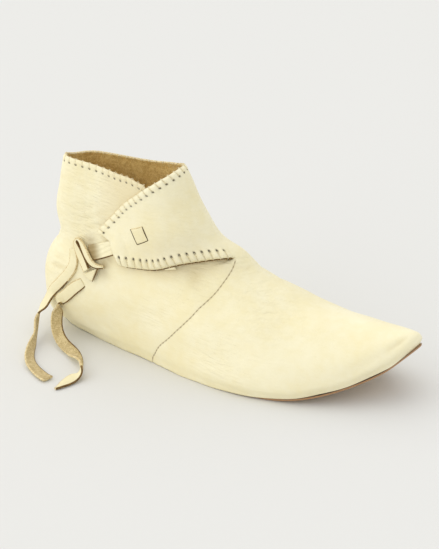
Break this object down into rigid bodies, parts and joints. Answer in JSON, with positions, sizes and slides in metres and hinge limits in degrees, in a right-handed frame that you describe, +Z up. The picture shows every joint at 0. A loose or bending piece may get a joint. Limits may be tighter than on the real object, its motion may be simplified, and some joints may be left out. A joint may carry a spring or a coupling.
{
  "type": "elf shoe",
  "caption": "Soft leather ankle shoe for the right foot with an upturned pointed toe, a thin sole, and a flap that wraps over the outer side and closes with a strap, flat knot and tie ends.",
  "frame": {"origin": "on the floor, under the middle of the upper's box", "axes": "+X towards the toe, +Y towards the inner side of the right foot, +Z up"},
  "size_m": [0.2855, 0.1498, 0.1358],
  "materials": {
    "upper_leather": "pale butter-yellow grain leather, matt with a soft sheen",
    "sole_leather": "brown sole leather with a cut edge",
    "thong_leather": "pale leather strip, smooth on one side and suede on the other"
  },
  "bodies": {
    "root": {"sole": "sole_leather", "upper": "upper_leather", "strap_window": "upper_leather", "strap": "thong_leather", "knot_loop": "thong_leather", "knot_tip": "thong_leather", "tie_end_back": "thong_leather", "tie_end_front": "thong_leather"}
  },
  "joints": []
}
